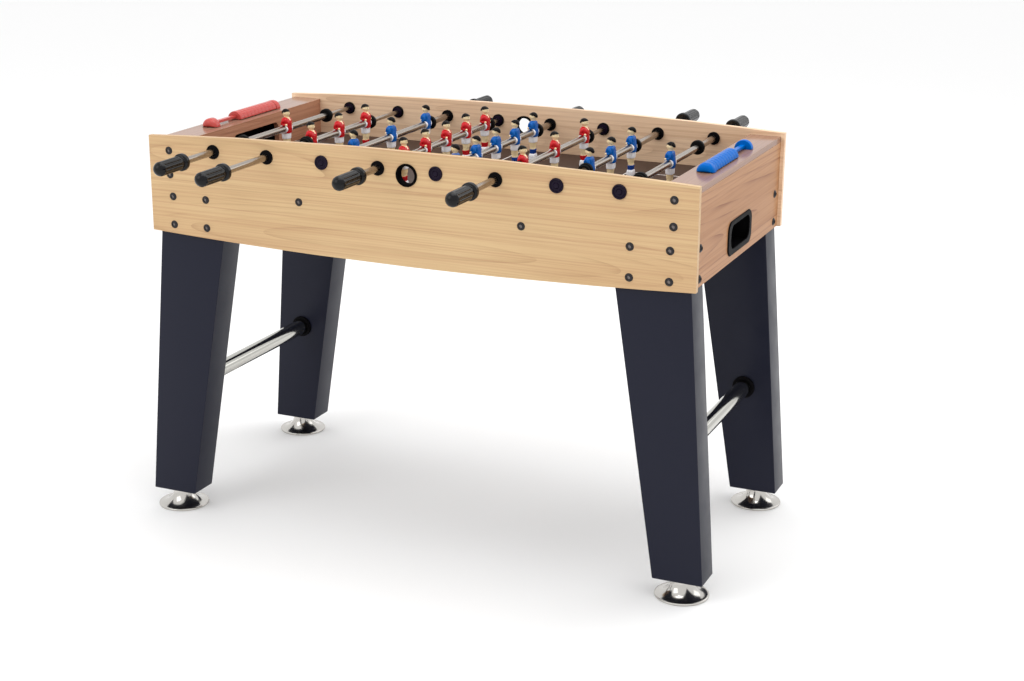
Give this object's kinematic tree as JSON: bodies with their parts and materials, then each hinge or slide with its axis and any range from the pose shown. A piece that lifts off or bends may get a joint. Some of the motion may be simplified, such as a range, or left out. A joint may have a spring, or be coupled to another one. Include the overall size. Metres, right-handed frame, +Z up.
{
  "type": "foosball table",
  "caption": "Foosball table on splayed box legs, with telescopic player rods, arched aprons, goals with ball returns, slide scorers and levelling feet.",
  "frame": {"origin": "on the floor under the middle of the table", "axes": "+X along the table from the red goal to the blue goal, +Y across it towards the blue team's handles, +Z up"},
  "size_m": [1.2974, 1.1198, 0.8685],
  "materials": {
    "maple_laminate": "satin",
    "tan_laminate": "satin",
    "brown_laminate": "satin",
    "pale_laminate": "gloss",
    "field_board": "satin",
    "bare_mdf": "matte",
    "leg_lacquer": "satin",
    "chrome": "polished",
    "rod_steel": "drawn",
    "black_plastic": "satin",
    "handle_plastic": "gloss",
    "black_rubber": "matte",
    "red_men": "gloss",
    "blue_men": "gloss",
    "scorer_plastic": "gloss",
    "red_plastic": "gloss",
    "blue_plastic": "gloss",
    "black_steel": "satin"
  },
  "bodies": {
    "cabinet": {"front_apron": "maple_laminate", "rear_apron": "maple_laminate", "left_end_panel": "tan_laminate", "right_end_panel": "tan_laminate", "goal_walls": "brown_laminate", "end_shelves": "pale_laminate", "playfield": "field_board", "field_braces": "bare_mdf", "corner_battens": "bare_mdf", "goal_boxes": "black_plastic", "ball_returns": "black_plastic", "serve_rings": "black_plastic", "rod_bushings": "black_plastic", "inner_rods": "rod_steel", "leg_stretchers": "chrome", "stretcher_sockets": "black_plastic", "score_rails": "scorer_plastic", "bolts": "black_steel", "front_left_leg": "leg_lacquer", "front_right_leg": "leg_lacquer", "rear_left_leg": "leg_lacquer", "rear_right_leg": "leg_lacquer"},
    "red_counters": {"red_counters": "red_plastic"},
    "blue_counters": {"blue_counters": "blue_plastic"},
    "front_left_foot": {"front_left_foot": "chrome"},
    "front_right_foot": {"front_right_foot": "chrome"},
    "rear_left_foot": {"rear_left_foot": "chrome"},
    "rear_right_foot": {"rear_right_foot": "chrome"},
    "rod_1_spinner": {"rod_1_tube": "rod_steel", "rod_1_handle": "handle_plastic", "rod_1_men": "red_men"},
    "rod_1_slider": {"rod_1_bumpers": "black_rubber"},
    "rod_2_spinner": {"rod_2_tube": "rod_steel", "rod_2_handle": "handle_plastic", "rod_2_men": "red_men"},
    "rod_2_slider": {"rod_2_bumpers": "black_rubber"},
    "rod_3_spinner": {"rod_3_tube": "rod_steel", "rod_3_handle": "handle_plastic", "rod_3_men": "blue_men"},
    "rod_3_slider": {"rod_3_bumpers": "black_rubber"},
    "rod_4_spinner": {"rod_4_tube": "rod_steel", "rod_4_handle": "handle_plastic", "rod_4_men": "red_men"},
    "rod_4_slider": {"rod_4_bumpers": "black_rubber"},
    "rod_5_spinner": {"rod_5_tube": "rod_steel", "rod_5_handle": "handle_plastic", "rod_5_men": "blue_men"},
    "rod_5_slider": {"rod_5_bumpers": "black_rubber"},
    "rod_6_spinner": {"rod_6_tube": "rod_steel", "rod_6_handle": "handle_plastic", "rod_6_men": "red_men"},
    "rod_6_slider": {"rod_6_bumpers": "black_rubber"},
    "rod_7_spinner": {"rod_7_tube": "rod_steel", "rod_7_handle": "handle_plastic", "rod_7_men": "blue_men"},
    "rod_7_slider": {"rod_7_bumpers": "black_rubber"},
    "rod_8_spinner": {"rod_8_tube": "rod_steel", "rod_8_handle": "handle_plastic", "rod_8_men": "blue_men"},
    "rod_8_slider": {"rod_8_bumpers": "black_rubber"}
  },
  "joints": [
    {"name": "rod_1_slide", "type": "slide", "parent": "cabinet", "child": "rod_1_slider", "axis": [0, 1, 0], "range_m": [-0.0912, 0.0988]},
    {"name": "rod_1_spin", "type": "hinge", "parent": "rod_1_slider", "child": "rod_1_spinner", "pos_m": [-0.4515, -0.0038, 0.8245], "axis": [0, 1, 0], "continuous": true},
    {"name": "rod_2_slide", "type": "slide", "parent": "cabinet", "child": "rod_2_slider", "axis": [0, 1, 0], "range_m": [-0.13708, 0.12692]},
    {"name": "rod_2_spin", "type": "hinge", "parent": "rod_2_slider", "child": "rod_2_spinner", "pos_m": [-0.3225, 0.00508, 0.8245], "axis": [0, 1, 0], "continuous": true},
    {"name": "rod_3_slide", "type": "slide", "parent": "cabinet", "child": "rod_3_slider", "axis": [0, 1, 0], "range_m": [-0.09095, 0.07905]},
    {"name": "rod_3_spin", "type": "hinge", "parent": "rod_3_slider", "child": "rod_3_spinner", "pos_m": [-0.1935, 0.00595, 0.8245], "axis": [0, 1, 0], "continuous": true},
    {"name": "rod_4_slide", "type": "slide", "parent": "cabinet", "child": "rod_4_slider", "axis": [0, 1, 0], "range_m": [-0.06678, 0.03922]},
    {"name": "rod_4_spin", "type": "hinge", "parent": "rod_4_slider", "child": "rod_4_spinner", "pos_m": [-0.0645, 0.01378, 0.8245], "axis": [0, 1, 0], "continuous": true},
    {"name": "rod_5_slide", "type": "slide", "parent": "cabinet", "child": "rod_5_slider", "axis": [0, 1, 0], "range_m": [-0.0424, 0.0636]},
    {"name": "rod_5_spin", "type": "hinge", "parent": "rod_5_slider", "child": "rod_5_spinner", "pos_m": [0.0645, -0.0106, 0.8245], "axis": [0, 1, 0], "continuous": true},
    {"name": "rod_6_slide", "type": "slide", "parent": "cabinet", "child": "rod_6_slider", "axis": [0, 1, 0], "range_m": [-0.0867, 0.0833]},
    {"name": "rod_6_spin", "type": "hinge", "parent": "rod_6_slider", "child": "rod_6_spinner", "pos_m": [0.1935, 0.0017, 0.8245], "axis": [0, 1, 0], "continuous": true},
    {"name": "rod_7_slide", "type": "slide", "parent": "cabinet", "child": "rod_7_slider", "axis": [0, 1, 0], "range_m": [-0.12692, 0.13708]},
    {"name": "rod_7_spin", "type": "hinge", "parent": "rod_7_slider", "child": "rod_7_spinner", "pos_m": [0.3225, -0.00508, 0.8245], "axis": [0, 1, 0], "continuous": true},
    {"name": "rod_8_slide", "type": "slide", "parent": "cabinet", "child": "rod_8_slider", "axis": [0, 1, 0], "range_m": [-0.09073, 0.09928]},
    {"name": "rod_8_spin", "type": "hinge", "parent": "rod_8_slider", "child": "rod_8_spinner", "pos_m": [0.4515, -0.00427, 0.8245], "axis": [0, 1, 0], "continuous": true},
    {"name": "front_left_level", "type": "slide", "parent": "cabinet", "child": "front_left_foot", "axis": [0, 0, -1], "range_m": [0, 0.012]},
    {"name": "front_right_level", "type": "slide", "parent": "cabinet", "child": "front_right_foot", "axis": [0, 0, -1], "range_m": [0, 0.012]},
    {"name": "rear_left_level", "type": "slide", "parent": "cabinet", "child": "rear_left_foot", "axis": [0, 0, -1], "range_m": [0, 0.012]},
    {"name": "rear_right_level", "type": "slide", "parent": "cabinet", "child": "rear_right_foot", "axis": [0, 0, -1], "range_m": [0, 0.012]},
    {"name": "red_score", "type": "slide", "parent": "cabinet", "child": "red_counters", "axis": [0, 1, 0], "range_m": [-0.086, 0]},
    {"name": "blue_score", "type": "slide", "parent": "cabinet", "child": "blue_counters", "axis": [0, 1, 0], "range_m": [0, 0.086]}
  ]
}
